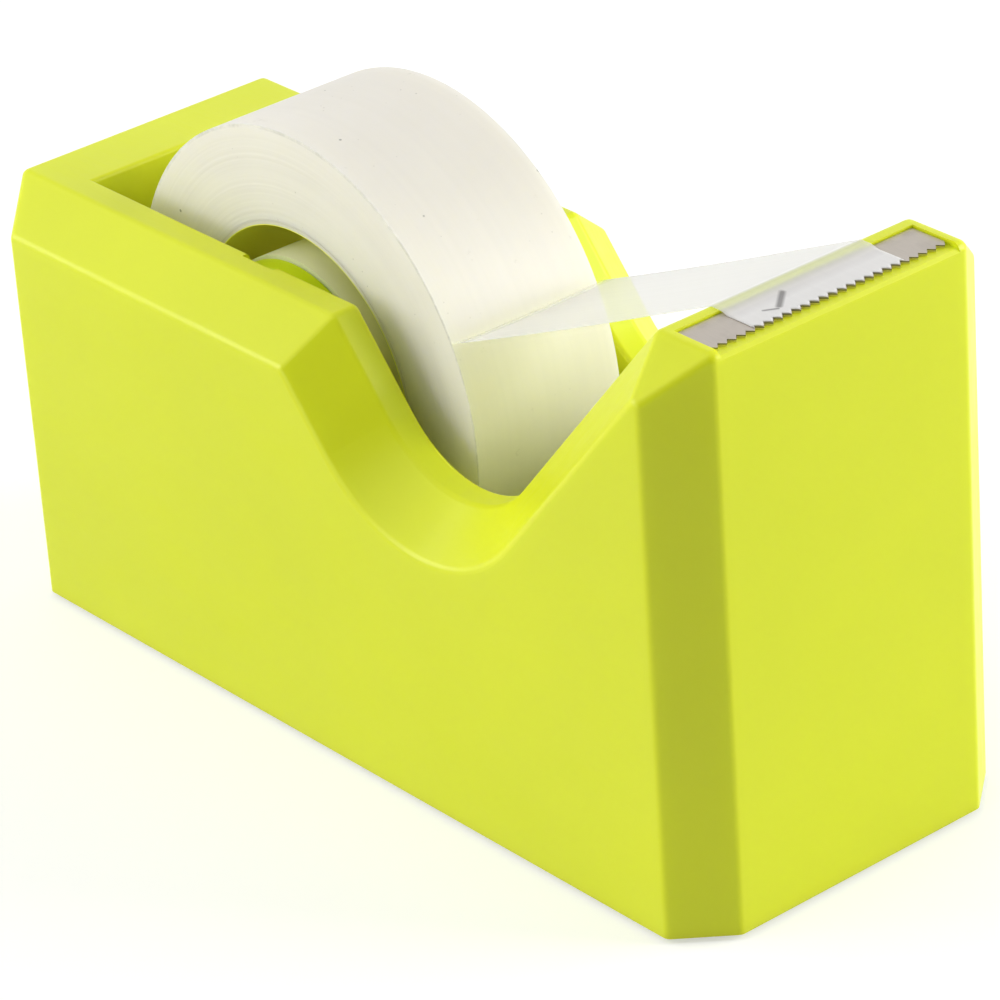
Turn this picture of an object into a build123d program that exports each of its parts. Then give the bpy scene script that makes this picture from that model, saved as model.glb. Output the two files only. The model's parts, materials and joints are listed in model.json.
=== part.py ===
from build123d import *
import math
import os

# Weighted desk tape dispenser. Millimetres, +Z up, +X towards the cutter,
# origin on the table under the middle of the casing.

# Tape, in the stock sizes that set the scale of everything else
TAPE_WIDTH = 19.0
CORE_BORE = 25.4
ROLL_RADIUS = 27.3
FILM = 0.2
PEEL_ANGLE = 26.0
PEEL_GAP = 0.3

# Casing outline seen from the side, measured from its back end
LENGTH = 108.7
WIDTH = 43.0
BACK_HEIGHT = 47.7
POST_HEIGHT = 62.5
POST_FLAT = 7.7
SHOULDER = 52.2
VALLEY_X = 69.9
VALLEY_Z = 26.5
VALLEY_RADIUS = 13.3
CASING_BOTTOM = 0.6
FACET_IN = 4.6
FACET_ACROSS = 5.6
EDGE_ROUND = 1.0
WALL = 2.2
CAVITY_TOP = 56.0

# Well for the roll
WELL_BACK = 8.4
WELL_FRONT = 77.5
WELL_WIDTH = 25.4
WELL_WALL = 2.0
WELL_FLOOR = 4.8
FLOOR_THICK = 1.6
MOUTH_ROUND = 0.5

# Roll axle, held in two leaning slots
AXLE_X = 38.2
AXLE_Z = 33.5
AXLE_RADIUS = 2.3
AXLE_LENGTH = 26.9
SLOT_WIDTH = 5.0
SLOT_DEPTH = 0.9
SLOT_LEAN = 4.0

# Hub and tape core
HUB_WIDTH = 24.6
HUB_RADIUS = 12.63
HUB_WALL = 1.6
FLANGE_RADIUS = 13.0
FLANGE_GAP = 0.3
SPIGOT_LENGTH = 4.0
SPIGOT_GAP = 0.02
SLEEVE_WALL = 0.6
RIM_INNER = 16.5
RIM_WALL = 0.5
BRIDGE_THICK = 1.4
BRIDGE_WIDTH = 8.0
WINDING_GAP = 0.02

# Cutter blade and its seat on the front post
SEAT_DROP = 0.55
SEAT_RIM = 1.4
SEAT_WIDTH = 30.2
BLADE_WIDTH = 29.9
BLADE_THICK = 0.3
BLADE_SETBACK = 1.25
TOOTH_COUNT = 26
TOOTH_DEPTH = 0.65
FLANGE_DROP = 2.0
SLIT_DEPTH = 3.0
FLANGE_WIDTH = 20.0
SEAT_GAP = 0.1
SEAT_BEVEL = 0.35

# Base plate, pad, screws and weights
PAD_THICK = 1.4
PAD_INSET = 2.0
PLATE_THICK = 1.8
PLATE_GAP = 0.3
BOSS_RADIUS = 3.2
BOSS_TOP = 14.0
SCREW_RADIUS = 1.1
SCREW_HEAD = 2.2
SCREW_CONE = 1.1
SCREW_LENGTH = 9.0
SCREW_GAP = 0.02
SCREW_SLOT = 0.6
SCREW_SLOT_DEPTH = 0.4
SCREW_END = 7.6
SCREW_SIDE = 15.75
WEIGHT_GAP = 0.5
WEIGHT_WIDTH = 24.0
WEIGHT_TOP = 55.0
WEIGHT_CHAMFER = 1.0
SLAB_BACK = 14.0
SLAB_FRONT = 66.0
SLAB_THICK = 3.3
SLAB_HEIGHT = 22.0
SLAB_ROUND = 2.0

BACK = -LENGTH / 2
FRONT = LENGTH / 2
AXLE = (BACK + AXLE_X, AXLE_Z)
SEAT_Z = POST_HEIGHT - SEAT_DROP
SEAT_BACK = FRONT - POST_FLAT + SEAT_RIM
PLATE_TOP = PAD_THICK + PLATE_THICK
FLANGE_FACE = TAPE_WIDTH / 2 + FLANGE_GAP
BIG = 200.0
SLACK = 0.01


def span_box(x0, x1, y0, y1, z0, z1):
    """Box between two corners."""
    middle = Pos((x0 + x1) / 2, (y0 + y1) / 2, (z0 + z1) / 2)
    return middle * Box(x1 - x0, y1 - y0, z1 - z0)


def side_solid(outline, width):
    """Outline drawn in X and Z made solid across the width."""
    return extrude(Plane.XZ * outline, width / 2, both=True)


def turned(points):
    """Solid of revolution about the axle from (radius, y) points."""
    half = make_face(Polyline(*points, close=True))
    return Pos(AXLE[0], 0, AXLE[1]) * revolve(half, Axis.Y)


def side_profile(inset, bottom):
    """Casing outline from bottom up. Drawn in by inset, it is the hollow's."""
    outline = make_face(
        Polyline(
            (BACK, -BIG),
            (BACK, BACK_HEIGHT),
            (BACK + SHOULDER, BACK_HEIGHT),
            (BACK + VALLEY_X, VALLEY_Z),
            (FRONT - POST_FLAT, POST_HEIGHT),
            (FRONT, POST_HEIGHT),
            (FRONT, -BIG),
            close=True,
        )
    )
    valley = outline.vertices().sort_by_distance((BACK + VALLEY_X, VALLEY_Z, 0))[0]
    outline = fillet(valley, VALLEY_RADIUS)
    if inset:
        outline = offset(outline, -inset)
    top = POST_HEIGHT if not inset else CAVITY_TOP
    return outline & Pos(0, (bottom + top) / 2) * Rectangle(BIG, top - bottom)


def faceted_block(inset, bottom):
    """Casing form with a flat facet along the edges of both its sides."""
    block = side_solid(side_profile(inset, bottom), WIDTH - 2 * inset)
    for end in (0, -1):
        side = block.faces().sort_by(Axis.Y)[end]
        rims = [e for e in side.edges() if e.center().Z > bottom + EDGE_ROUND]
        block = chamfer(rims, FACET_IN, FACET_ACROSS, reference=side)
    return block


def rounded_block():
    """Outer form of the casing with its edges softened."""
    block = faceted_block(0, CASING_BOTTOM)
    edges = [e for e in block.edges() if e.center().Z > CASING_BOTTOM + EDGE_ROUND]
    return fillet(edges, EDGE_ROUND)


def well_space(wall, floor):
    """Room for the roll, grown by wall, from floor upwards."""
    half = WELL_WIDTH / 2 + wall
    return span_box(BACK + WELL_BACK - wall, BACK + WELL_FRONT + wall, -half, half, floor, BIG)


def on_mouth(edge):
    """True for an edge of the casing that runs round the mouth of the well."""
    half = WELL_WIDTH / 2 + SLACK
    box = edge.bounding_box()
    upright_edge = max(box.size.X, box.size.Y) < SLACK
    in_x = box.min.X > BACK + WELL_BACK - SLACK and box.max.X < BACK + WELL_FRONT + SLACK
    in_y = box.min.Y > -half and box.max.Y < half
    return in_x and in_y and box.min.Z > VALLEY_Z and not upright_edge


def axle_slots():
    """The two leaning grooves in the well walls that take the axle ends."""
    lane = Circle(SLOT_WIDTH / 2) + Pos(0, BIG / 4) * Rectangle(SLOT_WIDTH, BIG / 2)
    lane = Pos(*AXLE) * Rot(0, 0, SLOT_LEAN) * lane
    return side_solid(lane, WELL_WIDTH + 2 * SLOT_DEPTH)


def blade_seat():
    """Step in the top of the post, bevelled in front, with the slit for the blade's flange."""
    outline = Polyline(
        (SEAT_BACK, BIG),
        (SEAT_BACK, SEAT_Z),
        (FRONT - SEAT_BEVEL, SEAT_Z),
        (FRONT + 1, SEAT_Z - SEAT_BEVEL - 1),
        (FRONT + 1, BIG),
        close=True,
    )
    step = side_solid(make_face(outline), SEAT_WIDTH)
    slit_half = FLANGE_WIDTH / 2 + SEAT_GAP
    slit_front = SEAT_BACK + BLADE_THICK + 2 * SEAT_GAP
    slit = span_box(SEAT_BACK, slit_front, -slit_half, slit_half, SEAT_Z - SLIT_DEPTH, SEAT_Z)
    return step + slit


def screw_places():
    """Positions of the four base screws."""
    x = LENGTH / 2 - SCREW_END
    return [Pos(sx * x, sy * SCREW_SIDE, 0) for sx in (-1, 1) for sy in (-1, 1)]


def upright(radius, bottom, top):
    """Vertical cylinder between two heights."""
    return Pos(0, 0, (bottom + top) / 2) * Cylinder(radius, top - bottom)


def open_block():
    """Outer form with the well, its mouth softened, and the blade seat cut in."""
    block = rounded_block() - well_space(0, WELL_FLOOR)
    mouth = [e for e in block.edges() if on_mouth(e)]
    return fillet(mouth, MOUTH_ROUND) - blade_seat()


def casing():
    shell = open_block() - axle_slots()
    well_walls = well_space(WELL_WALL, WELL_FLOOR - FLOOR_THICK)
    shell -= faceted_block(WALL, -1) - well_walls
    pilot = upright(SCREW_RADIUS + SCREW_GAP, 0, PAD_THICK + SCREW_LENGTH + 1)
    for place in screw_places():
        shell += place * upright(BOSS_RADIUS, PLATE_TOP, BOSS_TOP)
    for place in screw_places():
        shell -= place * pilot
    return shell


def base_outline(inset):
    """Plan of the inside of the casing at the bottom, drawn in by inset."""
    x = LENGTH / 2 - WALL
    y = WIDTH / 2 - WALL
    corners = []
    for sx, sy in ((1, 1), (-1, 1), (-1, -1), (1, -1)):
        pair = [(sx * x, sy * (y - FACET_ACROSS)), (sx * (x - FACET_IN), sy * y)]
        corners += pair if sx * sy > 0 else pair[::-1]
    return offset(make_face(Polyline(*corners, close=True)), -inset)


def base_plate():
    plate = Pos(0, 0, PAD_THICK) * extrude(base_outline(PLATE_GAP), PLATE_THICK)
    for place in screw_places():
        plate -= place * screw_form(SCREW_GAP)
    return plate


def foot_pad():
    return extrude(base_outline(PLATE_GAP + PAD_INSET), PAD_THICK)


def screw_form(gap):
    """Countersunk screw from below, grown by gap."""
    cone = Cone(SCREW_HEAD + gap, SCREW_RADIUS + gap, SCREW_CONE)
    head = Pos(0, 0, PAD_THICK + SCREW_CONE / 2) * cone
    return head + upright(SCREW_RADIUS + gap, PAD_THICK, PAD_THICK + SCREW_LENGTH)


def base_screws():
    slot = Pos(0, 0, PAD_THICK) * Box(2 * SCREW_HEAD, SCREW_SLOT, 2 * SCREW_SLOT_DEPTH)
    cross = slot + Rot(0, 0, 90) * slot
    screw = screw_form(0) - cross & upright(SCREW_HEAD, 0, BIG)
    return Compound(children=[place * screw.solids()[0] for place in screw_places()])


def front_weight():
    """Cast block that fills the hollow of the front post."""
    block = side_solid(side_profile(WALL + WEIGHT_GAP, PLATE_TOP), WEIGHT_WIDTH)
    back = BACK + WELL_FRONT + WELL_WALL + WEIGHT_GAP
    block &= span_box(back, FRONT, -WIDTH, WIDTH, PLATE_TOP, WEIGHT_TOP)
    return chamfer(block.edges().filter_by(Axis.Y), WEIGHT_CHAMFER)


def side_weight(side):
    """Steel slab beside the well, side is -1 or 1."""
    near = WELL_WIDTH / 2 + WELL_WALL + WEIGHT_GAP
    y0, y1 = sorted((side * near, side * (near + SLAB_THICK)))
    top = PLATE_TOP + SLAB_HEIGHT
    slab = span_box(BACK + SLAB_BACK, BACK + SLAB_FRONT, y0, y1, PLATE_TOP, top)
    return fillet(slab.edges().filter_by(Axis.Y), SLAB_ROUND)


def cutter_blade():
    """Flat strip with a saw-tooth front edge and a flange turned down behind."""
    tip = FRONT - BLADE_SETBACK
    root = tip - TOOTH_DEPTH
    back = SEAT_BACK + SEAT_GAP
    pitch = BLADE_WIDTH / TOOTH_COUNT
    points = [(back, -BLADE_WIDTH / 2), (root, -BLADE_WIDTH / 2)]
    for tooth in range(TOOTH_COUNT):
        y = -BLADE_WIDTH / 2 + tooth * pitch
        points += [(tip, y + pitch / 2), (root, y + pitch)]
    points.append((back, BLADE_WIDTH / 2))
    strip = make_face(Polyline(*points, close=True))
    blade = Pos(0, 0, SEAT_Z) * extrude(strip, BLADE_THICK)
    half = FLANGE_WIDTH / 2
    blade += span_box(back, back + BLADE_THICK, -half, half, SEAT_Z - FLANGE_DROP, SEAT_Z)
    return blade


def hub_barrel():
    """Cup-shaped hub with its near flange and near axle end."""
    end = -HUB_WIDTH / 2
    bore = HUB_RADIUS - HUB_WALL
    return turned(
        [
            (0, -AXLE_LENGTH / 2),
            (AXLE_RADIUS, -AXLE_LENGTH / 2),
            (AXLE_RADIUS, end),
            (FLANGE_RADIUS, end),
            (FLANGE_RADIUS, -FLANGE_FACE),
            (HUB_RADIUS, -FLANGE_FACE),
            (HUB_RADIUS, FLANGE_FACE),
            (bore, FLANGE_FACE),
            (bore, end + HUB_WALL),
            (0, end + HUB_WALL),
        ]
    )


def hub_cap():
    """Far flange that plugs into the barrel and carries the far axle end."""
    end = HUB_WIDTH / 2
    spigot = HUB_RADIUS - HUB_WALL - SPIGOT_GAP
    return turned(
        [
            (0, AXLE_LENGTH / 2),
            (AXLE_RADIUS, AXLE_LENGTH / 2),
            (AXLE_RADIUS, end),
            (FLANGE_RADIUS, end),
            (FLANGE_RADIUS, FLANGE_FACE),
            (spigot, FLANGE_FACE),
            (spigot, FLANGE_FACE - SPIGOT_LENGTH),
            (spigot - HUB_WALL, FLANGE_FACE - SPIGOT_LENGTH),
            (spigot - HUB_WALL, end - HUB_WALL),
            (0, end - HUB_WALL),
        ]
    )


def ring(inner, outer, half):
    """Plain ring round the axle, half wide to each side."""
    return turned([(inner, -half), (outer, -half), (outer, half), (inner, half)])


def tape_core():
    """Moulded core: inner sleeve and outer rim, held together by two bridges."""
    half = TAPE_WIDTH / 2
    bore = CORE_BORE / 2
    rim = RIM_INNER + RIM_WALL
    sleeve = ring(bore, bore + SLEEVE_WALL, half)
    web = ring(bore + SLEEVE_WALL / 2, RIM_INNER + RIM_WALL / 2, BRIDGE_THICK / 2)
    bridges = web & Pos(AXLE[0], 0, AXLE[1]) * Box(2 * rim, BRIDGE_THICK, BRIDGE_WIDTH)
    return sleeve + bridges + ring(RIM_INNER, rim, half)


def tape_roll():
    """Wound tape. Its outer layer comes over the top and ends at the peel line."""
    top = (ROLL_RADIUS, 0)
    far = (-ROLL_RADIUS, 0)
    under = (ROLL_RADIUS - FILM, 0)
    drop = ROLL_RADIUS - FILM / 2
    winding = ThreePointArc(top, (0, ROLL_RADIUS), far)
    winding += ThreePointArc(far, (-FILM / 2, -drop), under)
    winding += Line(under, top)
    face = make_face(winding) - Circle(RIM_INNER + RIM_WALL + WINDING_GAP)
    face = Pos(*AXLE) * Rot(0, 0, PEEL_ANGLE) * face
    return side_solid(face, TAPE_WIDTH)


def tape_leader():
    """Free film from the peel line over the post to the blade's teeth."""
    peel = ROLL_RADIUS + PEEL_GAP
    angle = math.radians(PEEL_ANGLE)
    on_blade = SEAT_Z + BLADE_THICK + SEAT_GAP / 2
    under = [
        (AXLE[0] + peel * math.cos(angle), AXLE[1] + peel * math.sin(angle)),
        (FRONT - POST_FLAT, POST_HEIGHT + SEAT_GAP / 2),
        (SEAT_BACK, POST_HEIGHT + SEAT_GAP / 2),
        (SEAT_BACK + SEAT_RIM, on_blade),
        (FRONT - BLADE_SETBACK - TOOTH_DEPTH / 2, on_blade),
    ]
    over = [(x, z + FILM) for x, z in reversed(under)]
    return side_solid(make_face(Polyline(*under, *over, close=True)), TAPE_WIDTH)


def main():
    os.makedirs("parts", exist_ok=True)
    nodes = {
        "casing": casing(),
        "base_plate": base_plate(),
        "base_screws": base_screws(),
        "foot_pad": foot_pad(),
        "front_weight": front_weight(),
        "near_weight": side_weight(-1),
        "far_weight": side_weight(1),
        "cutter_blade": cutter_blade(),
        "hub_barrel": hub_barrel(),
        "hub_cap": hub_cap(),
        "tape_core": tape_core(),
        "tape_roll": tape_roll(),
        "tape_leader": tape_leader(),
    }
    for name, shape in nodes.items():
        export_step(shape, f"parts/{name}.step")


main()
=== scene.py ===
import json
import math

import bmesh
import bpy
from bpy.props import FloatProperty, FloatVectorProperty, IntProperty, PointerProperty
from mathutils import Matrix, Vector, noise


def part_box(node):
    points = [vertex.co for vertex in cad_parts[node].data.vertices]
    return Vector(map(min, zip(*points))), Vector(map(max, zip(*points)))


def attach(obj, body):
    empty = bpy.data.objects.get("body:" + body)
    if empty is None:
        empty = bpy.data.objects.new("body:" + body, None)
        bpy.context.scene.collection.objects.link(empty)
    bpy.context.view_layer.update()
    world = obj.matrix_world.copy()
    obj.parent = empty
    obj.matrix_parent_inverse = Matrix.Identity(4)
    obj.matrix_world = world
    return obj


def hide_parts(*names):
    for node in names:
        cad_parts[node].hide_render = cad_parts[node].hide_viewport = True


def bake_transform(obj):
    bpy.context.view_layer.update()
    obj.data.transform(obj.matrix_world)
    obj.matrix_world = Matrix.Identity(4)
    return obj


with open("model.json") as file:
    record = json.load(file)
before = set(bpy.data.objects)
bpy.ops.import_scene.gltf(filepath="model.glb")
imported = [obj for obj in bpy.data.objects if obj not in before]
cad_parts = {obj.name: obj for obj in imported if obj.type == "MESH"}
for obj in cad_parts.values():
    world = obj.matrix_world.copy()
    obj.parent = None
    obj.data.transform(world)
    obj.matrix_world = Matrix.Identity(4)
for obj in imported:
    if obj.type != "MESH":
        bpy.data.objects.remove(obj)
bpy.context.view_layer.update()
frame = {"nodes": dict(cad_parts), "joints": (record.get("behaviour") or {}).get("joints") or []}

bl_info = {
    "name": "Desk tape dispenser",
    "version": (1, 0, 0),
    "blender": (4, 5, 0),
    "location": "3D View > Sidebar > Tape dispenser",
    "description": "Finishes a weighted desk tape dispenser: casing, hub, roll, film and cutter",
    "category": "Object",
}

MM = 0.001

# Side of the reference picture in pixels, sensor width in millimetres, nearest distance seen
PICTURE_SIDE = 1000.0
SENSOR = 36.0
CLIP_START = 0.01


def joint(name):
    """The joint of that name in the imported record."""
    return next(j for j in frame["joints"] if j["name"] == name)


# Places read from the frame, in metres
AXLE = Vector(joint("roll_spin")["pos_m"])
ROLL_HIGH = Vector(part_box("tape_roll")[1])
CORE_HIGH = Vector(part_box("tape_core")[1])
CASING_HIGH = Vector(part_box("casing")[1])
BLADE_LOW, BLADE_HIGH = (Vector(corner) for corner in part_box("cutter_blade"))
ROLL_RADIUS = ROLL_HIGH.z - AXLE.z
CORE_RADIUS = CORE_HIGH.z - AXLE.z
HALF_WIDTH = ROLL_HIGH.y

# Zones of the core's finish: from the sleeve to the cavity, which is painted lime bounce light, and
# from the cavity to the rim's face, which is painted shade
CAVITY_RUN = CORE_RADIUS - 3.65 * MM, CORE_RADIUS - 3.35 * MM
RIM_RUN = CORE_RADIUS - 0.45 * MM, CORE_RADIUS - 0.35 * MM

# Share of the roll's colour that the core's rim has on its face: painted shade, darker to blend with
# the shaded inner layers of the roll
RIM_FACE_SHADE = 0.86

# Zones of the blade's finish: dark cut band and bare steel, down from the top; glue at the back
CUT_BAND = BLADE_HIGH.z - 0.02 * MM, BLADE_HIGH.z - 0.06 * MM
BARE_BAND = BLADE_HIGH.z - 0.10 * MM, BLADE_HIGH.z - 0.18 * MM
GLUE_RUN = BLADE_LOW.x + 1.6 * MM, BLADE_LOW.x

# Zones of the roll's finish: soiled outer layers, and the thin line along the edge of each face
SOILED_RUN = ROLL_RADIUS - 1.6 * MM, ROLL_RADIUS - 0.1 * MM
EDGE_RUN = ROLL_RADIUS - 0.45 * MM, ROLL_RADIUS - 0.3 * MM
FACE_RUN = HALF_WIDTH - 0.12 * MM, HALF_WIDTH - 0.06 * MM

# Zones of the film's clearness along X: onto the blade, over the seat's rim, and off the roll
LAID_RUN = BLADE_LOW.x - 1.5 * MM, BLADE_LOW.x + 1.0 * MM
PAST_RUN = BLADE_LOW.x + 2.4 * MM, BLADE_LOW.x - 0.2 * MM
LIP_BEFORE, LIP_AFTER = 0.6 * MM, 0.4 * MM
LIP_CLEAR = 0.3
ROOT_FADE = 3.0 * MM

# Share of a stroke's or a speck's width that is fully dark
STROKE_CORE = 0.3
SPECK_CORE = 0.6

# Grain of the moulded plastic, and brushing of the steel along X, Y and Z, per metre
PLASTIC_GRAIN = 1500.0
BLADE_BRUSHING = (700.0, 9000.0, 700.0)
SCREW_BRUSHING = (900.0, 900.0, 900.0)

# Steps of the film's mesh, its gap to what lies below, and the run over which its edges stand up
BEND_STEPS = 6
SETTLE_STEPS = 6
BLADE_STEPS = 8
FILM_GAP = 0.03 * MM
CUP_RUN = 10 * MM

# How fast the layers' sideways wander changes, per turn and round a turn
DRIFT_PER_TURN = 1.7
DRIFT_ROUND = 0.6

# Angles in degrees above which a mesh keeps a sharp edge
SHARP_FILM = 30.0
SHARP_ROLL = 50.0

# Half side of the floor, the lights' common target, and each softbox: name, place and side
FLOOR_HALF = 3.0
TARGET = Vector((0.0, 0.0, 0.03))
SOFTBOXES = (
    ("left", (-0.48, -0.48, 0.28), 0.45),
    ("right", (0.46, 0.52, 0.28), 0.45),
    ("top", (-0.02, -0.32, 0.58), 0.5),
    ("fill", (-0.05, -0.70, 0.16), 0.3),
)

# Where the room's light starts and stops to rise, as the cosine to the view's direction
DIM_END, BRIGHT_END = -0.9, 0.4


def on_blade(back, aside):
    """Place on the blade, back from its teeth and aside from its middle."""
    return BLADE_HIGH.x - back, aside, 0.0


# Ends of the two strokes where the film touches the blade, and how much wider the long one is
CONTACT_LONG = on_blade(3.8 * MM, -2.8 * MM), on_blade(1.9 * MM, -5.0 * MM)
CONTACT_SHORT = on_blade(1.6 * MM, -5.4 * MM), on_blade(2.3 * MM, -6.6 * MM)
LONG_WIDER = 2.1


def colour(name, description, value):
    """A colour property."""
    return FloatVectorProperty(
        name=name, description=description, default=value, subtype="COLOR", min=0.0, max=1.0, size=3
    )


def length(name, description, value):
    """A length property, in metres."""
    return FloatProperty(name=name, description=description, default=value, unit="LENGTH", precision=5)


def angle(name, description, degrees):
    """An angle property."""
    return FloatProperty(
        name=name, description=description, default=math.radians(degrees), subtype="ANGLE"
    )


def factor(name, description, value):
    """A property between 0 and 1."""
    return FloatProperty(
        name=name, description=description, default=value, subtype="FACTOR", min=0.0, max=1.0
    )


class PlasticLook(bpy.types.PropertyGroup):
    """Colours and gloss of the moulded pieces."""

    casing: colour("Casing", "Lime of the casing", (0.80, 0.875, 0.018))
    hub: colour("Hub", "Deeper lime of the hub", (0.68, 0.855, 0.01))
    base: colour("Base", "Matt lime of the base plate", (0.50, 0.57, 0.05))
    rubber: colour("Rubber", "Dark rubber of the foot pad", (0.025, 0.025, 0.024))
    roughness: factor("Roughness", "Mean roughness of the casing", 0.34)


class TapeLook(bpy.types.PropertyGroup):
    """Form and colours of the roll, its core and the free film."""

    roll: colour("Roll", "Cream of the wound tape", (0.90, 0.865, 0.775))
    core: colour("Core", "Milky plastic of the core", (0.96, 0.96, 0.66))
    # Painted bounce light: the cavity's deep lime stands in for light bounced into the core from the
    # lime casing, not a plastic of its own
    cavity: colour("Cavity", "Deeper plastic inside the core", (1.0, 0.99, 0.10))
    film: colour("Film", "Frosted white of a single film", (0.99, 0.98, 0.965))
    layer: length("Layer", "Radial step between the drawn layers", 0.2 * MM)
    groove: length("Groove", "Depth of the groove between two layers", 0.012 * MM)
    taper: factor("Taper", "Share of a turn over which the outer layer thins to its end", 0.15)
    sink: factor("Sink", "How much of the outer layer's thickness is lost at its end", 0.75)
    wander: length("Wander", "How far the layers wander sideways", 0.04 * MM)
    thickness: length("Film thickness", "Thickness of the free film", 0.07 * MM)
    peel: angle("Peel", "Angle at which the film leaves the roll", 26.0)
    columns: IntProperty(name="Columns", description="Steps round one turn", default=128, min=24)
    rows: IntProperty(name="Rows", description="Steps along the free film", default=24, min=4)
    bend: length("Bend", "Radius where the film peels off the roll", 0.4 * MM)
    sag: length("Sag", "Sag of the free film at its middle", 0.25 * MM)
    cup: length("Cup", "How far the film's edges stand up", 0.15 * MM)
    lip: length("Lip", "Where the film meets the post, back from the front face", 7.4 * MM)
    settle: length("Settle", "Run over which the film comes down on the blade", 1.2 * MM)
    teeth: IntProperty(name="Teeth", description="Teeth on the cutter", default=26, min=8)
    per_tooth: IntProperty(name="Steps per tooth", description="Film steps per tooth", default=4, min=2)
    tooth: length("Tooth", "Depth of a tooth in the film's cut end", 0.65 * MM)
    short: length("Short", "How far the cut end stays behind the teeth", 0.1 * MM)
    clear: factor("Clear", "How much shows through the free film", 0.46)
    laid: factor("Laid", "How much shows through the film on the blade", 0.28)
    mark: length("Mark", "Half width of the spot where the film touches the blade", 0.22 * MM)


class MetalLook(bpy.types.PropertyGroup):
    """Colours of the metal pieces."""

    blade: colour("Blade", "Brushed steel of the cutter", (0.54, 0.49, 0.435))
    screw: colour("Screws", "Zinc plate of the screws", (0.55, 0.55, 0.57))
    weight: colour("Weights", "Grey iron of the weights", (0.11, 0.11, 0.115))


class StageLook(bpy.types.PropertyGroup):
    """Camera, floor and lights."""

    azimuth: angle("Azimuth", "Camera angle round the object", 51.41)
    elevation: angle("Elevation", "Camera angle above the table", 28.04)
    roll: angle("Roll", "Lean of the camera", 4.056)
    distance: length("Distance", "Camera distance from the origin along its axis", 551.7 * MM)
    aim: length("Aim", "Height of the image centre in the camera's plane", 18.93 * MM)
    focal: FloatProperty(name="Focal", description="Focal length in pixels", default=5300.0)
    floor: colour("Floor", "Pale floor", (0.64, 0.64, 0.64))
    lift: factor("Lift", "How far the floor is lifted to white where it is seen", 0.5)
    back: FloatProperty(name="Back", description="Strength of the light wall behind", default=0.58)
    front: FloatProperty(name="Front", description="Strength of the dim room in front", default=0.05)
    left: FloatProperty(name="Left", description="Left softbox", default=2.25, unit="POWER")
    right: FloatProperty(name="Right", description="Right softbox", default=4.4, unit="POWER")
    top: FloatProperty(name="Top", description="Top softbox", default=0.8, unit="POWER")
    fill: FloatProperty(name="Fill", description="Low near softbox", default=0.7, unit="POWER")


LOOKS = {
    "dispenser_plastic": PlasticLook,
    "dispenser_tape": TapeLook,
    "dispenser_metal": MetalLook,
    "dispenser_stage": StageLook,
}


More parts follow.
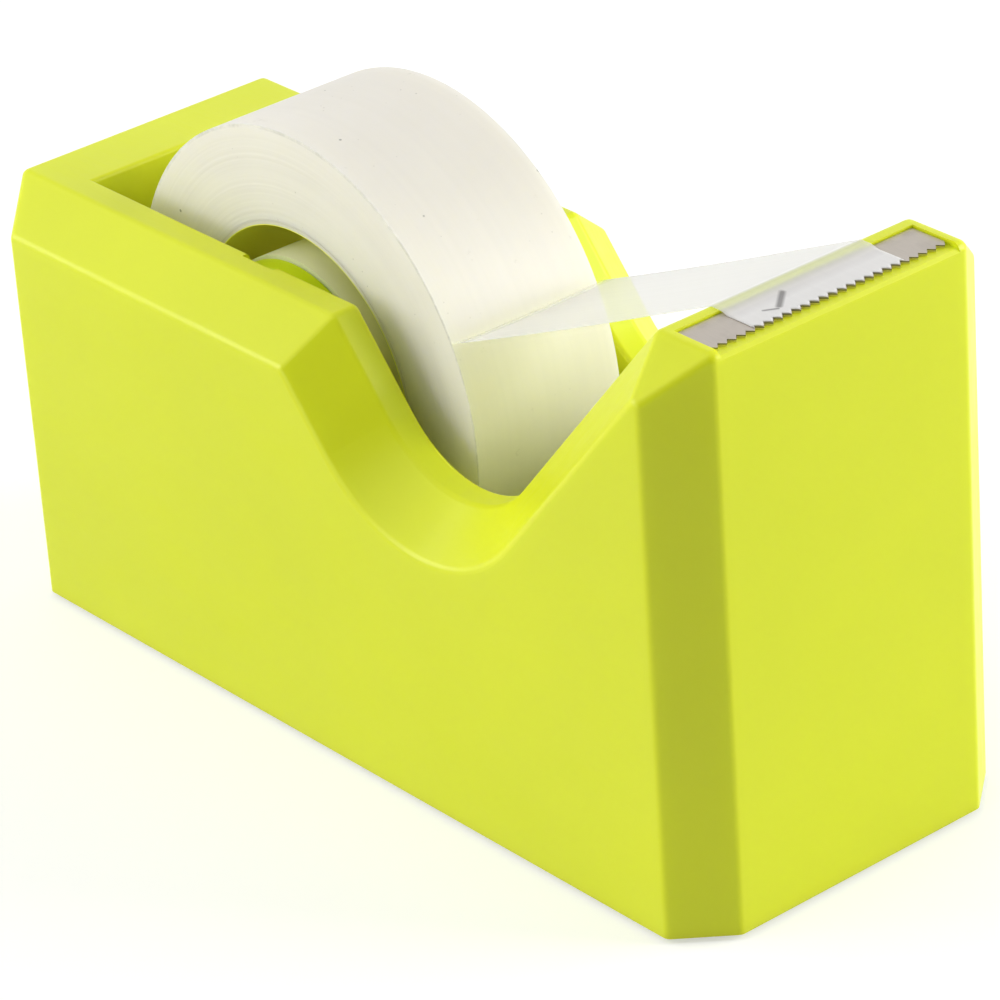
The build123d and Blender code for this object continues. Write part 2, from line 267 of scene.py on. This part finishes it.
class Finish:
    """A node material under construction, with the object's own coordinates at hand."""

    def __init__(self, name, base, roughness):
        self.material = bpy.data.materials.new(name)
        self.material.use_nodes = True
        self.tree = self.material.node_tree
        self.shader = self.tree.nodes["Principled BSDF"]
        self.shader.inputs["Base Color"].default_value = (*base, 1.0)
        self.shader.inputs["Roughness"].default_value = roughness
        self.base = tuple(base)
        self.place = self.node("ShaderNodeTexCoord").outputs["Object"]
        self.height = None

    def node(self, kind, **settings):
        """A new node with its settings."""
        made = self.tree.nodes.new(kind)
        for key, value in settings.items():
            setattr(made, key, value)
        return made

    def feed(self, socket, value):
        """Links a socket, or sets a plain value."""
        if isinstance(value, bpy.types.NodeSocket):
            self.tree.links.new(value, socket)
        else:
            socket.default_value = value

    def math(self, operation, a, b=0.0):
        """Result of one math step."""
        made = self.node("ShaderNodeMath", operation=operation)
        self.feed(made.inputs[0], a)
        self.feed(made.inputs[1], b)
        return made.outputs[0]

    def scaled(self, factors):
        """Object coordinates stretched by three factors."""
        made = self.node("ShaderNodeMapping")
        self.feed(made.inputs["Vector"], self.place)
        made.inputs["Scale"].default_value = factors
        return made.outputs["Vector"]

    def noise(self, scale, detail=3.0, vector=None, roughness=0.5):
        """Cloudy noise, its scale per metre."""
        made = self.node("ShaderNodeTexNoise")
        self.feed(made.inputs["Vector"], vector or self.place)
        made.inputs["Scale"].default_value = scale
        made.inputs["Detail"].default_value = detail
        made.inputs["Roughness"].default_value = roughness
        return made.outputs["Fac"]

    def line_noise(self, along, scale, detail=2.0):
        """Noise that changes only with one value."""
        made = self.node("ShaderNodeTexNoise", noise_dimensions="1D")
        self.feed(made.inputs["W"], along)
        made.inputs["Scale"].default_value = scale
        made.inputs["Detail"].default_value = detail
        return made.outputs["Fac"]

    def specks(self, scale, size, share):
        """Mask of small round specks on a share of the cells."""
        cells = self.node("ShaderNodeTexVoronoi")
        self.feed(cells.inputs["Vector"], self.place)
        cells.inputs["Scale"].default_value = scale
        near = self.ramp(cells.outputs["Distance"], size, size * SPECK_CORE)
        pick = self.node("ShaderNodeSeparateColor")
        self.feed(pick.inputs[0], cells.outputs["Color"])
        chosen = self.math("LESS_THAN", pick.outputs[0], share)
        return self.math("MULTIPLY", near, chosen)

    def ramp(self, value, low, high):
        """Value mapped to 0 at low and 1 at high."""
        made = self.node("ShaderNodeMapRange", clamp=True)
        self.feed(made.inputs["Value"], value)
        made.inputs["From Min"].default_value = low
        made.inputs["From Max"].default_value = high
        return made.outputs["Result"]

    def span(self, value, low, high):
        """Value from 0 to 1 mapped to low to high."""
        made = self.node("ShaderNodeMapRange", clamp=True)
        self.feed(made.inputs["Value"], value)
        made.inputs["To Min"].default_value = low
        made.inputs["To Max"].default_value = high
        return made.outputs["Result"]

    def mix(self, amount, first, second):
        """Colour between the first and the second."""
        made = self.node("ShaderNodeMix", data_type="RGBA")
        self.feed(made.inputs["Factor"], amount)
        for socket, value in ((made.inputs["A"], first), (made.inputs["B"], second)):
            self.feed(socket, value if isinstance(value, bpy.types.NodeSocket) else (*value, 1.0))
        return made.outputs["Result"]

    def shade(self, amount):
        """The base colour made darker or lighter."""
        return tuple(min(channel * amount, 1.0) for channel in self.base)

    def set(self, **values):
        """Feeds the shader's sockets by name."""
        for key, value in values.items():
            self.feed(self.shader.inputs[key.replace("_", " ")], value)

    def bump(self, height, depth):
        """Adds a bump of a real depth in metres on top of those before it."""
        made = self.node("ShaderNodeBump")
        made.inputs["Strength"].default_value = 1.0
        made.inputs["Distance"].default_value = depth
        self.feed(made.inputs["Height"], height)
        if self.height:
            self.feed(made.inputs["Normal"], self.height)
        self.height = made.outputs["Normal"]
        self.feed(self.shader.inputs["Normal"], self.height)

    def axle_polar(self):
        """Distance from the axle, and place across the tape."""
        shift = self.node("ShaderNodeVectorMath", operation="SUBTRACT")
        self.feed(shift.inputs[0], self.place)
        shift.inputs[1].default_value = AXLE
        parts = self.node("ShaderNodeSeparateXYZ")
        self.feed(parts.inputs[0], shift.outputs[0])
        total = self.math("ADD", self.squared(parts.outputs["X"]), self.squared(parts.outputs["Z"]))
        return self.math("SQRT", total), parts.outputs["Y"]

    def squared(self, value):
        """Value times itself."""
        return self.math("MULTIPLY", value, value)

    def along_axes(self):
        """The object's own X, Y and Z."""
        parts = self.node("ShaderNodeSeparateXYZ")
        self.feed(parts.inputs[0], self.place)
        return parts.outputs

    def stroke(self, start, end, half):
        """Mask of a soft stroke between two places, half wide to each side."""
        run = Vector(end) - Vector(start)
        middle = (Vector(start) + Vector(end)) / 2
        turn = self.node("ShaderNodeMapping", vector_type="TEXTURE")
        self.feed(turn.inputs["Vector"], self.place)
        turn.inputs["Location"].default_value = middle
        turn.inputs["Rotation"].default_value = (0.0, 0.0, math.atan2(run.y, run.x))
        parts = self.node("ShaderNodeSeparateXYZ")
        self.feed(parts.inputs[0], turn.outputs["Vector"])
        past = self.math("SUBTRACT", self.math("ABSOLUTE", parts.outputs["X"]), run.length / 2)
        past = self.math("MAXIMUM", past, 0.0)
        aside = self.math("ADD", self.squared(past), self.squared(parts.outputs["Y"]))
        return self.ramp(self.math("SQRT", aside), half, half * STROKE_CORE)


def moulded_plastic(name, base, roughness, dust):
    """Glossy moulded plastic: faint flow marks, fine grain, hairlines and a little dust."""
    look = Finish(name, base, roughness)
    flow = look.noise(scale=28.0, detail=4.0)
    tone = look.mix(look.ramp(flow, 0.35, 0.7), look.shade(0.965), look.shade(1.02))
    specks = look.specks(scale=260.0, size=0.10, share=dust)
    look.set(Base_Color=look.mix(look.math("MULTIPLY", specks, 0.55), tone, look.shade(0.35)))
    hairline = look.noise(scale=1.0, detail=2.0, vector=look.scaled((90.0, 2600.0, 420.0)))
    patches = look.noise(scale=60.0, detail=3.0)
    wear = look.math("MULTIPLY", hairline, 0.45)
    wear = look.math("ADD", wear, look.math("MULTIPLY", patches, 0.55))
    look.set(Roughness=look.span(look.ramp(wear, 0.3, 0.7), roughness - 0.07, roughness + 0.08))
    look.bump(look.noise(scale=PLASTIC_GRAIN, detail=3.0), depth=0.012 * MM)
    look.bump(hairline, depth=0.003 * MM)
    look.set(Specular_IOR_Level=0.36, Subsurface_Weight=0.5, Subsurface_Scale=1.6 * MM)
    look.set(Subsurface_Radius=(1.0, 1.0, 0.15))
    return look.material


def matt_plastic(name, base):
    """Spark-textured matt plastic."""
    look = Finish(name, base, 0.6)
    grain = look.noise(scale=2200.0, detail=4.0, roughness=0.65)
    look.set(Base_Color=look.mix(grain, look.shade(0.88), look.shade(1.06)))
    look.set(Roughness=look.span(grain, 0.5, 0.72))
    look.bump(grain, depth=0.05 * MM)
    return look.material


def foot_rubber(base):
    """Dark rubber with a finely grained and dusty face."""
    look = Finish("foot_rubber", base, 0.8)
    dust = look.noise(scale=220.0, detail=5.0, roughness=0.7)
    look.set(Base_Color=look.mix(look.ramp(dust, 0.55, 0.8), look.base, (0.10, 0.10, 0.095)))
    look.set(Roughness=look.span(dust, 0.7, 0.92))
    look.bump(look.noise(scale=3200.0, detail=2.0), depth=0.04 * MM)
    return look.material


def brushed_steel(name, base, along):
    """Rolled steel with brushing along one axis and faint stains."""
    look = Finish(name, base, 0.3)
    brushing = look.noise(scale=1.0, detail=3.0, vector=look.scaled(along), roughness=0.6)
    stain = look.noise(scale=160.0, detail=4.0, roughness=0.6)
    tone = look.mix(brushing, look.shade(0.86), look.shade(1.08))
    look.tone = look.mix(look.ramp(stain, 0.55, 0.8), tone, look.shade(0.72))
    look.set(Base_Color=look.tone, Metallic=1.0, Roughness=look.span(brushing, 0.26, 0.42))
    look.bump(brushing, depth=0.004 * MM)
    return look


def blade_steel(base):
    """Brushed steel strip with a dark line on its cut edges and old glue at the back."""
    look = brushed_steel("blade_steel", base, BLADE_BRUSHING)
    axes = look.along_axes()
    bare = look.ramp(axes["Z"], *BARE_BAND)
    cut = look.math("SUBTRACT", look.ramp(axes["Z"], *CUT_BAND), bare)
    glue = look.ramp(axes["X"], *GLUE_RUN)
    patches = look.ramp(look.noise(scale=420.0, detail=4.0, roughness=0.7), 0.45, 0.7)
    glue = look.math("MULTIPLY", look.math("MULTIPLY", glue, patches), 0.5)
    tone = look.mix(bare, look.mix(glue, look.tone, look.shade(0.4)), look.shade(1.6))
    look.set(Base_Color=look.mix(look.math("MULTIPLY", cut, 0.92), tone, (0.11, 0.10, 0.09)))
    look.set(Metallic=look.span(cut, 1.0, 0.2))
    return look.material


def cast_iron(base):
    """Sand-cast iron with a rough skin."""
    look = Finish("cast_iron", base, 0.7)
    skin = look.noise(scale=700.0, detail=6.0, roughness=0.7)
    rust = look.ramp(look.noise(scale=120.0, detail=4.0), 0.6, 0.78)
    tone = look.mix(skin, look.shade(0.7), look.shade(1.3))
    look.set(Base_Color=look.mix(rust, tone, (0.10, 0.05, 0.03)))
    look.set(Metallic=0.7, Roughness=look.span(skin, 0.55, 0.85))
    look.bump(skin, depth=0.15 * MM)
    return look.material


def core_plastic(base, cavity, face):
    """Milky plastic with turned rings, pale on the rim's face but darkened there as painted shade, and
    painted deep lime inside as bounce light from the casing.
    """
    look = Finish("core_plastic", base, 0.42)
    radius = look.axle_polar()[0]
    rings = look.line_noise(radius, scale=5200.0)
    cloud = look.noise(scale=90.0, detail=3.0)
    sleeve = look.mix(cloud, look.shade(0.94), look.shade(1.04))
    # Painted bounce light: the colour turns deep lime inside the cavity
    inside = look.mix(look.ramp(radius, *CAVITY_RUN), sleeve, cavity)
    # Painted shade: the rim's face is the roll's cream darkened to the shade of the roll's inner layers
    look.set(Base_Color=look.mix(look.ramp(radius, *RIM_RUN), inside, face))
    look.set(Roughness=look.span(rings, 0.34, 0.5))
    look.bump(rings, depth=0.006 * MM)
    look.set(Subsurface_Weight=0.15, Subsurface_Scale=2.0 * MM, Subsurface_Radius=(1.0, 1.0, 0.6))
    return look.material


def wound_tape(base):
    """Many layers of film: fine rings on the faces, streaks round the outside, some dirt."""
    look = Finish("wound_tape", base, 0.46)
    radius, across = look.axle_polar()
    rings = look.line_noise(radius, scale=5200.0, detail=4.0)
    bands = look.line_noise(radius, scale=620.0, detail=2.0)
    streaks = look.line_noise(across, scale=900.0, detail=3.0)
    cloud = look.noise(scale=45.0, detail=4.0)
    layers = look.math("MULTIPLY", look.math("ADD", rings, bands), 0.5)
    tone = look.mix(look.ramp(layers, 0.3, 0.7), look.shade(0.965), look.shade(1.015))
    tone = look.mix(look.ramp(cloud, 0.35, 0.75), tone, look.shade(1.05))
    streaked = look.math("MULTIPLY", look.ramp(streaks, 0.4, 0.75), 0.25)
    tone = look.mix(streaked, tone, look.shade(0.92))
    dirt = look.math("MULTIPLY", look.specks(scale=420.0, size=0.085, share=0.12), 0.6)
    cluster = look.ramp(look.noise(scale=110.0, detail=3.0), 0.5, 0.66)
    cluster = look.math("MULTIPLY", cluster, 0.4)
    fine = look.specks(scale=1500.0, size=0.16, share=0.12)
    dirt = look.math("MAXIMUM", dirt, look.math("MULTIPLY", fine, cluster))
    smear = look.ramp(look.noise(scale=420.0, detail=5.0, roughness=0.7), 0.66, 0.78)
    soiled = look.ramp(radius, *SOILED_RUN)
    smear = look.math("MULTIPLY", smear, look.span(soiled, 0.10, 0.35))
    tone = look.mix(smear, tone, (0.42, 0.40, 0.33))
    edge = look.ramp(radius, *EDGE_RUN)
    face = look.ramp(look.math("ABSOLUTE", across), *FACE_RUN)
    broken = look.ramp(look.noise(scale=240.0, detail=4.0, roughness=0.7), 0.42, 0.6)
    line = look.math("MULTIPLY", look.math("MULTIPLY", edge, face), look.span(broken, 0.03, 0.34))
    tone = look.mix(line, tone, (0.30, 0.29, 0.24))
    look.set(Base_Color=look.mix(dirt, tone, (0.10, 0.09, 0.06)))
    look.set(Roughness=look.span(cloud, 0.38, 0.54))
    look.bump(rings, depth=0.005 * MM)
    look.bump(streaks, depth=0.003 * MM)
    look.set(Subsurface_Weight=0.5, Subsurface_Scale=2.0 * MM, Subsurface_Radius=(1.0, 0.97, 0.8))
    return look.material


def film_cover(look, tape):
    """How much the film hides: least over the seat's rim, most on the blade, fading in at the roll."""
    along = look.along_axes()["X"]
    cover = look.span(look.ramp(along, *LAID_RUN), 1.0 - tape.clear, 1.0 - tape.laid)
    lip = CASING_HIGH.x - tape.lip
    over = look.ramp(along, lip - LIP_BEFORE, lip + LIP_AFTER)
    over_rim = look.math("MULTIPLY", over, look.ramp(along, *PAST_RUN))
    cover = look.math("SUBTRACT", cover, look.math("MULTIPLY", over_rim, LIP_CLEAR))
    root = AXLE.x + ROLL_RADIUS * math.cos(tape.peel)
    return look.math("MULTIPLY", cover, look.ramp(along, root, root + ROOT_FADE))


def frosted_film(tape):
    """One film of matt tape: milky, half clear, darker where its glue has wetted the blade."""
    look = Finish("frosted_film", tape.film, 0.48)
    haze = look.noise(scale=900.0, detail=3.0)
    streaks = look.line_noise(look.axle_polar()[1], scale=1400.0, detail=3.0)
    wet = look.ramp(look.noise(scale=260.0, detail=4.0, roughness=0.65), 0.62, 0.72)
    tone = look.mix(look.ramp(streaks, 0.35, 0.7), look.shade(0.98), look.shade(1.01))
    tone = look.mix(look.math("MULTIPLY", wet, 0.15), tone, look.shade(0.85))
    spot = look.stroke(*CONTACT_LONG, LONG_WIDER * tape.mark)
    spot = look.math("MAXIMUM", spot, look.stroke(*CONTACT_SHORT, tape.mark))
    look.set(Base_Color=look.mix(look.math("MULTIPLY", spot, 0.72), tone, (0.16, 0.15, 0.15)))
    look.set(Roughness=look.span(haze, 0.4, 0.56), Alpha=film_cover(look, tape))
    look.bump(haze, depth=0.002 * MM)
    look.set(Specular_IOR_Level=0.4)
    return look.material


def dress(node, material):
    """Gives a CAD node its finish."""
    for slot in frame["nodes"][node].material_slots:
        slot.material = material


def mesh_piece(name, verts, faces, material, sharp):
    """A new mesh object of the dispenser with one material."""
    mesh = bpy.data.meshes.new(name)
    mesh.from_pydata(verts, [], faces)
    mesh.materials.append(material)
    mesh.update()
    piece = bpy.data.objects.new(name, mesh)
    bpy.context.scene.collection.objects.link(piece)
    shape = bmesh.new()
    shape.from_mesh(mesh)
    bmesh.ops.recalc_face_normals(shape, faces=shape.faces)
    shape.to_mesh(mesh)
    shape.free()
    mesh.shade_smooth()
    mesh.set_sharp_from_angle(angle=math.radians(sharp))
    return piece


def ring_point(radius, turn_angle, y):
    """Point at a radius and angle round the axle."""
    return Vector((AXLE.x + radius * math.cos(turn_angle), y, AXLE.z + radius * math.sin(turn_angle)))


def wound_roll(look):
    """Mesh of the roll as one film wound in a spiral, with a groove beside every layer."""
    columns = look.columns
    turns = int((ROLL_RADIUS - CORE_RADIUS) / look.layer)
    steps = turns * columns
    verts = []
    for step in range(steps + 1):
        turn = step / columns
        around = look.peel - math.tau * turn
        sunk = max(0.0, 1.0 - (turns - turn) / look.taper)
        thick = look.layer * (1.0 - look.sink * sunk)
        radius = ROLL_RADIUS - look.layer * (turns - turn + 1.0) + thick
        aside = math.sin(around) * DRIFT_ROUND, math.cos(around) * DRIFT_ROUND
        drift = noise.noise(Vector((turn * DRIFT_PER_TURN, *aside)))
        rim = HALF_WIDTH - look.wander * (0.5 + 0.5 * drift)
        low = radius - thick / 2 if step > columns else CORE_RADIUS
        for side in (-1, 1):
            verts.append(ring_point(low, around, side * (rim - look.groove)))
            verts.append(ring_point(radius, around, side * rim))
    return verts, roll_faces(steps, columns)


def roll_faces(steps, columns):
    """Faces of the wound roll: both grooved sides, the bore, the outside and the two ends."""
    faces = []

    def at(step, corner):
        return step * 4 + corner

    for step in range(steps):
        for near in (0, 2):
            groove, crest = near, near + 1
            faces.append((at(step, groove), at(step, crest), at(step + 1, crest), at(step + 1, groove)))
            above = step + columns
            if above < steps:
                faces.append(
                    (at(step, crest), at(above, groove), at(above + 1, groove), at(step + 1, crest))
                )
        if step < columns:
            faces.append((at(step, 0), at(step, 2), at(step + 1, 2), at(step + 1, 0)))
        if step >= steps - columns:
            faces.append((at(step, 1), at(step, 3), at(step + 1, 3), at(step + 1, 1)))
    over = steps - columns
    faces.append((at(steps, 0), at(steps, 1), at(steps, 3), at(steps, 2)))
    faces.append((at(over, 1), at(steps, 0), at(steps, 2), at(over, 3)))
    faces.append((at(0, 0), at(0, 1), at(0, 3), at(0, 2)))
    faces.append((at(0, 1), at(columns, 0), at(columns, 2), at(0, 3)))
    return faces


def film_route(look):
    """Underside of the free film in X and Z, from the roll to the cutter's teeth."""
    surface = ROLL_RADIUS + FILM_GAP
    along = Vector((math.cos(look.peel), math.sin(look.peel)))
    up = Vector((-along.y, along.x))
    root = Vector((AXLE.x, AXLE.z)) + along * surface
    bend = look.bend
    route = []
    for step in range(BEND_STEPS + 1):
        turn = math.pi / 2 * step / BEND_STEPS
        route.append(root + along * bend * (1 - math.cos(turn)) + up * bend * (1 - math.sin(turn)))
    lip = Vector((CASING_HIGH.x - look.lip, CASING_HIGH.z + FILM_GAP))
    start = route[-1]
    for step in range(1, look.rows):
        share = step / look.rows
        route.append(start.lerp(lip, share) - Vector((0.0, look.sag * math.sin(math.pi * share))))
    blade_top = BLADE_HIGH.z + FILM_GAP
    settle = BLADE_LOW.x + look.settle
    route += [lip, Vector((BLADE_LOW.x, lip.y))]
    for step in range(1, SETTLE_STEPS + 1):
        share = step / SETTLE_STEPS
        ease = share * share * (3 - 2 * share)
        drop = (blade_top - lip.y) * ease
        route.append(Vector((BLADE_LOW.x + look.settle * share, lip.y + drop)))
    for step in range(1, BLADE_STEPS + 1):
        route.append(Vector((settle + (BLADE_HIGH.x - settle) * step / BLADE_STEPS, blade_top)))
    return route


def film_sheet(look):
    """Mesh of the free film, cupped across and cut to the teeth at its end."""
    pitch = (BLADE_HIGH.y - BLADE_LOW.y) / look.teeth
    across = round(2 * HALF_WIDTH / pitch * look.per_tooth)
    route = film_route(look)
    reach = route[-1].x - BLADE_LOW.x - look.settle
    verts = []
    for spot in route:
        cut = max(0.0, 1.0 - (route[-1].x - spot.x) / reach)
        free = min(1.0, max(0.0, (BLADE_LOW.x - spot.x) / CUP_RUN))
        for column in range(across + 1):
            share = 2 * column / across - 1
            y = HALF_WIDTH * share
            phase = ((y - BLADE_LOW.y) / pitch) % 1.0
            notch = look.tooth * abs(2.0 * phase - 1.0) + look.short
            cup = look.cup * free * share * share
            verts.append(Vector((spot.x - cut * notch, y, spot.y + cup)))
    stride = across + 1
    faces = []
    for row in range(len(route) - 1):
        for column in range(across):
            a = row * stride + column
            faces.append((a, a + 1, a + stride + 1, a + stride))
    return verts, faces


class DISPENSER_OT_casing(bpy.types.Operator):
    """Finishes the moulded lime casing"""

    bl_idname = "dispenser.casing"
    bl_label = "Casing"

    def execute(self, context):
        look = context.scene.dispenser_plastic
        dress("casing", moulded_plastic("lime_plastic", look.casing, look.roughness, dust=0.03))
        return {"FINISHED"}


class DISPENSER_OT_base(bpy.types.Operator):
    """Finishes the base plate, its screws and the foot pad"""

    bl_idname = "dispenser.base"
    bl_label = "Base"

    def execute(self, context):
        plastic = context.scene.dispenser_plastic
        dress("base_plate", matt_plastic("base_plastic", plastic.base))
        dress("foot_pad", foot_rubber(plastic.rubber))
        steel = brushed_steel("screw_steel", context.scene.dispenser_metal.screw, SCREW_BRUSHING)
        dress("base_screws", steel.material)
        return {"FINISHED"}


class DISPENSER_OT_weights(bpy.types.Operator):
    """Finishes the weights inside the casing"""

    bl_idname = "dispenser.weights"
    bl_label = "Weights"

    def execute(self, context):
        iron = cast_iron(context.scene.dispenser_metal.weight)
        for node in ("front_weight", "near_weight", "far_weight"):
            dress(node, iron)
        return {"FINISHED"}


class DISPENSER_OT_cutter(bpy.types.Operator):
    """Finishes the serrated cutter blade"""

    bl_idname = "dispenser.cutter"
    bl_label = "Cutter"

    def execute(self, context):
        look = context.scene.dispenser_metal
        dress("cutter_blade", blade_steel(look.blade))
        return {"FINISHED"}


class DISPENSER_OT_hub(bpy.types.Operator):
    """Finishes both halves of the hub"""

    bl_idname = "dispenser.hub"
    bl_label = "Hub"

    def execute(self, context):
        look = context.scene.dispenser_plastic
        lime = moulded_plastic("hub_plastic", look.hub, look.roughness, dust=0.02)
        for node in ("hub_barrel", "hub_cap"):
            dress(node, lime)
        return {"FINISHED"}


class DISPENSER_OT_core(bpy.types.Operator):
    """Finishes the milky tape core"""

    bl_idname = "dispenser.core"
    bl_label = "Tape core"

    def execute(self, context):
        look = context.scene.dispenser_tape
        # Painted shade: the rim's face gets the roll's cream, darkened to the shade of the roll's inner
        # layers
        face = [RIM_FACE_SHADE * channel for channel in look.roll]
        dress("tape_core", core_plastic(look.core, look.cavity, face))
        return {"FINISHED"}


class DISPENSER_OT_roll(bpy.types.Operator):
    """Winds the roll of tape"""

    bl_idname = "dispenser.roll"
    bl_label = "Tape roll"

    def execute(self, context):
        look = context.scene.dispenser_tape
        verts, faces = wound_roll(look)
        piece = mesh_piece("wound_roll", verts, faces, wound_tape(look.roll), SHARP_ROLL)
        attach(piece, "roll")
        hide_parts("tape_roll")
        return {"FINISHED"}


class DISPENSER_OT_leader(bpy.types.Operator):
    """Lays the free film from the roll to the cutter"""

    bl_idname = "dispenser.leader"
    bl_label = "Free film"

    def execute(self, context):
        look = context.scene.dispenser_tape
        verts, faces = film_sheet(look)
        piece = mesh_piece("free_film", verts, faces, frosted_film(look), SHARP_FILM)
        thick = piece.modifiers.new("thickness", "SOLIDIFY")
        thick.thickness = look.thickness
        thick.offset = 1.0
        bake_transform(piece)
        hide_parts("tape_leader")
        return {"FINISHED"}


def softbox(name, place, size, power):
    """Square area light that faces the object."""
    data = bpy.data.lights.new(name, "AREA")
    data.size = size
    data.energy = power
    lamp = bpy.data.objects.new(name, data)
    lamp.location = place
    lamp.rotation_euler = (TARGET - Vector(place)).to_track_quat("-Z", "Y").to_euler()
    bpy.context.scene.collection.objects.link(lamp)


def stage_camera(look):
    """Camera at the viewing angle of the reference picture."""
    data = bpy.data.cameras.new("camera")
    data.sensor_width = SENSOR
    data.lens = look.focal * SENSOR / PICTURE_SIDE
    data.clip_start = CLIP_START
    turn = Matrix.Rotation(look.azimuth, 3, "Z") @ Matrix.Rotation(math.pi / 2 - look.elevation, 3, "X")
    turn = turn @ Matrix.Rotation(-look.roll, 3, "Z")
    camera = bpy.data.objects.new("camera", data)
    place = turn @ Vector((0.0, look.aim, look.distance))
    camera.matrix_world = Matrix.Translation(place) @ turn.to_4x4()
    bpy.context.scene.collection.objects.link(camera)
    bpy.context.scene.camera = camera


def stage_floor(look):
    """Large pale floor under the object."""
    half = FLOOR_HALF
    corners = [(-half, -half, 0.0), (half, -half, 0.0), (half, half, 0.0), (-half, half, 0.0)]
    mesh = bpy.data.meshes.new("floor")
    mesh.from_pydata(corners, [], [(0, 1, 2, 3)])
    finish = Finish("floor_paper", look.floor, 0.9)
    paper = finish.noise(scale=40.0, detail=3.0)
    finish.set(Base_Color=finish.mix(paper, finish.shade(0.985), finish.shade(1.01)))
    finish.set(Specular_IOR_Level=0.1, Emission_Color=(1.0, 1.0, 1.0, 1.0))
    path = finish.node("ShaderNodeLightPath").outputs
    seen = finish.math("MAXIMUM", path["Is Camera Ray"], path["Is Glossy Ray"])
    seen = finish.math("MAXIMUM", seen, path["Is Transmission Ray"])
    finish.set(Emission_Strength=finish.math("MULTIPLY", seen, look.lift))
    mesh.materials.append(finish.material)
    floor = bpy.data.objects.new("floor", mesh)
    bpy.context.scene.collection.objects.link(floor)


def stage_world(look):
    """Studio with a light wall behind the object and a dim room in front of it."""
    world = bpy.data.worlds.new("studio")
    world.use_nodes = True
    tree = world.node_tree
    sky = tree.nodes["Background"]

    def join(operation, a, b):
        made = tree.nodes.new("ShaderNodeMath")
        made.operation = operation
        tree.links.new(a, made.inputs[0])
        tree.links.new(b, made.inputs[1])
        return made.outputs[0]

    sky.inputs["Color"].default_value = (1.0, 1.0, 1.0, 1.0)
    place = tree.nodes.new("ShaderNodeTexCoord")
    facing = tree.nodes.new("ShaderNodeVectorMath")
    facing.operation = "DOT_PRODUCT"
    facing.inputs[1].default_value = (-math.sin(look.azimuth), math.cos(look.azimuth), 0.0)
    shade = tree.nodes.new("ShaderNodeMapRange")
    shade.interpolation_type = "SMOOTHSTEP"
    shade.inputs["From Min"].default_value = DIM_END
    shade.inputs["From Max"].default_value = BRIGHT_END
    shade.inputs["To Min"].default_value = look.front
    shade.inputs["To Max"].default_value = look.back
    tree.links.new(place.outputs["Generated"], facing.inputs[0])
    tree.links.new(facing.outputs["Value"], shade.inputs["Value"])
    path = tree.nodes.new("ShaderNodeLightPath").outputs
    seen = join("MAXIMUM", path["Is Camera Ray"], path["Is Glossy Ray"])
    seen = join("MAXIMUM", seen, path["Is Transmission Ray"])
    white = tree.nodes.new("ShaderNodeMapRange")
    white.inputs["To Min"].default_value = 1.0
    white.inputs["To Max"].default_value = 1.0 / look.back
    tree.links.new(seen, white.inputs["Value"])
    strength = join("MULTIPLY", shade.outputs["Result"], white.outputs["Result"])
    tree.links.new(strength, sky.inputs["Strength"])
    bpy.context.scene.world = world


class DISPENSER_OT_stage(bpy.types.Operator):
    """Sets the floor, the soft lights and the camera"""

    bl_idname = "dispenser.stage"
    bl_label = "Stage"

    def execute(self, context):
        look = context.scene.dispenser_stage
        stage_floor(look)
        stage_world(look)
        for name, place, size in SOFTBOXES:
            softbox(name + "_softbox", place, size, getattr(look, name))
        stage_camera(look)
        context.scene.view_settings.view_transform = "Standard"
        return {"FINISHED"}


OPERATORS = (
    DISPENSER_OT_casing,
    DISPENSER_OT_base,
    DISPENSER_OT_weights,
    DISPENSER_OT_cutter,
    DISPENSER_OT_hub,
    DISPENSER_OT_core,
    DISPENSER_OT_roll,
    DISPENSER_OT_leader,
    DISPENSER_OT_stage,
)


class DISPENSER_PT_panel(bpy.types.Panel):
    """Lists the dispenser's settings and steps"""

    bl_label = "Tape dispenser"
    bl_idname = "DISPENSER_PT_panel"
    bl_space_type = "VIEW_3D"
    bl_region_type = "UI"
    bl_category = "Tape dispenser"

    def draw(self, context):
        for name in LOOKS:
            box = self.layout.box()
            settings = getattr(context.scene, name)
            for key in settings.__annotations__:
                box.prop(settings, key)
        for step in OPERATORS:
            self.layout.operator(step.bl_idname)


def register():
    for group in LOOKS.values():
        bpy.utils.register_class(group)
    for name, group in LOOKS.items():
        setattr(bpy.types.Scene, name, PointerProperty(type=group))
    for step in OPERATORS:
        bpy.utils.register_class(step)
    bpy.utils.register_class(DISPENSER_PT_panel)


def unregister():
    bpy.utils.unregister_class(DISPENSER_PT_panel)
    for step in reversed(OPERATORS):
        bpy.utils.unregister_class(step)
    for name, group in LOOKS.items():
        delattr(bpy.types.Scene, name)
        bpy.utils.unregister_class(group)


def main():
    register()
    for step in OPERATORS:
        group, name = step.bl_idname.split(".")
        getattr(getattr(bpy.ops, group), name)()


if __name__ == "__main__":
    main()
